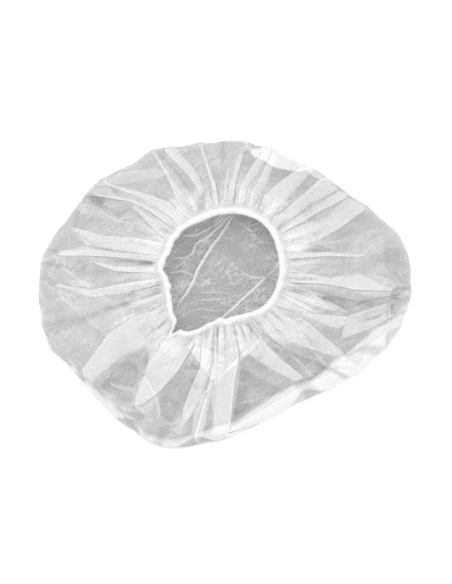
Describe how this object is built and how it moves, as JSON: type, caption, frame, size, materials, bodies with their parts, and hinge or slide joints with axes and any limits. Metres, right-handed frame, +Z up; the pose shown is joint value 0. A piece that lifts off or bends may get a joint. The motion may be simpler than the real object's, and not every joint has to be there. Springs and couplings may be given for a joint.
{
  "type": "disposable bouffant hair cover cap",
  "caption": "Disposable bouffant hair cover of thin white nonwoven, gathered in pleats onto a narrow elastic band, lying flat with its round opening up.",
  "frame": {"origin": "on the table, under the middle of the cap's outline", "axes": "+X along the cap's longest way across, +Z up through the opening, and +Y away from the front, which is the side with the notch in the band"},
  "size_m": [0.3404, 0.2988, 0.0271],
  "materials": {
    "nonwoven_sheet": "thin white spunbond nonwoven, matt, fibrous, half see-through in one layer",
    "elastic_cover": "many small gathers of the same white nonwoven over an elastic, opaque and matt"
  },
  "bodies": {
    "root": {"gathered_sheet": "nonwoven_sheet", "elastic_band": "elastic_cover"}
  },
  "joints": []
}
